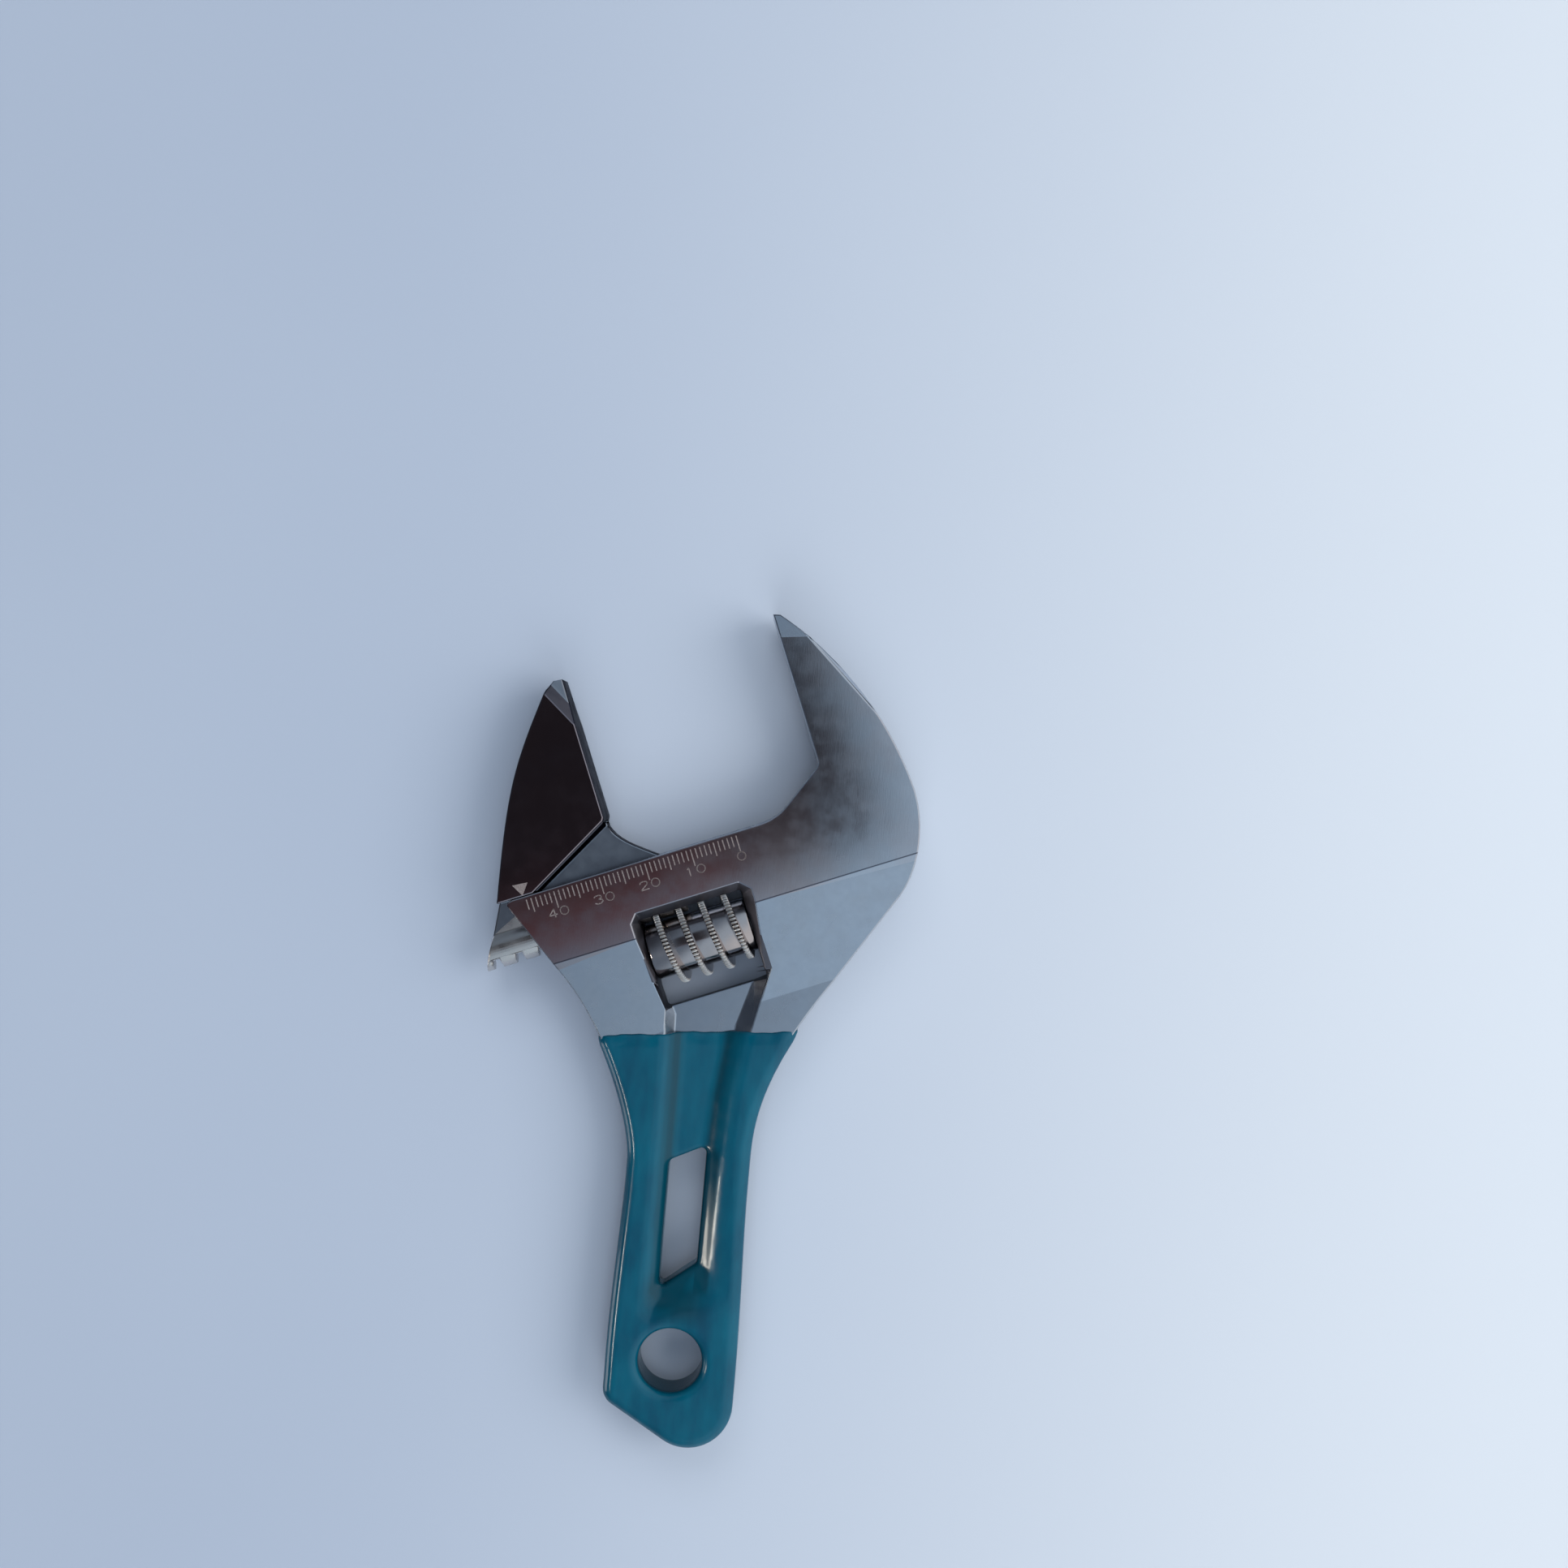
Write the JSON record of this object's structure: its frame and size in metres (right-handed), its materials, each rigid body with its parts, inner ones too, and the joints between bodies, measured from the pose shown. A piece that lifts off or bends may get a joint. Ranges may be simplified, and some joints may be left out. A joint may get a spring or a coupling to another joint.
{
  "type": "adjustable wrench",
  "caption": "Adjustable wrench with a wide sliding jaw on a rack, a knurled worm, and a dipped grip with a long slot and a hang hole.",
  "frame": {"origin": "centre of the hang hole, at the middle of the handle's thickness", "axes": "+Y runs along the handle towards the head, +Z points out of the face that carries the scale, along the hang hole"},
  "size_m": [0.089, 0.1776, 0.0162],
  "materials": {
    "body_steel": "satin",
    "jaw_steel": "satin",
    "worm_steel": "bright",
    "pin_steel": "satin",
    "spring_steel": "bright",
    "grip_plastic": "gloss"
  },
  "bodies": {
    "frame": {"body": "body_steel", "grip": "grip_plastic", "worm_pin": "pin_steel", "worm_spring": "spring_steel"},
    "jaw": {"movable_jaw": "jaw_steel"},
    "worm_screw": {"worm": "worm_steel"}
  },
  "joints": [
    {"name": "jaw_slide", "type": "slide", "parent": "frame", "child": "jaw", "axis": [-0.9272, -0.3746, 0], "range_m": [-0.0465, 0.00125]},
    {"name": "worm_spin", "type": "hinge", "parent": "frame", "child": "worm_screw", "pos_m": [-0.00129, 0.0894, 0], "axis": [0.9272, 0.3746, 0], "range_deg": [-3350, 92]}
  ],
  "couplings": [
    {"joint": "worm_spin", "follows": "jaw_slide", "rad_per_m": 1256.6}
  ]
}
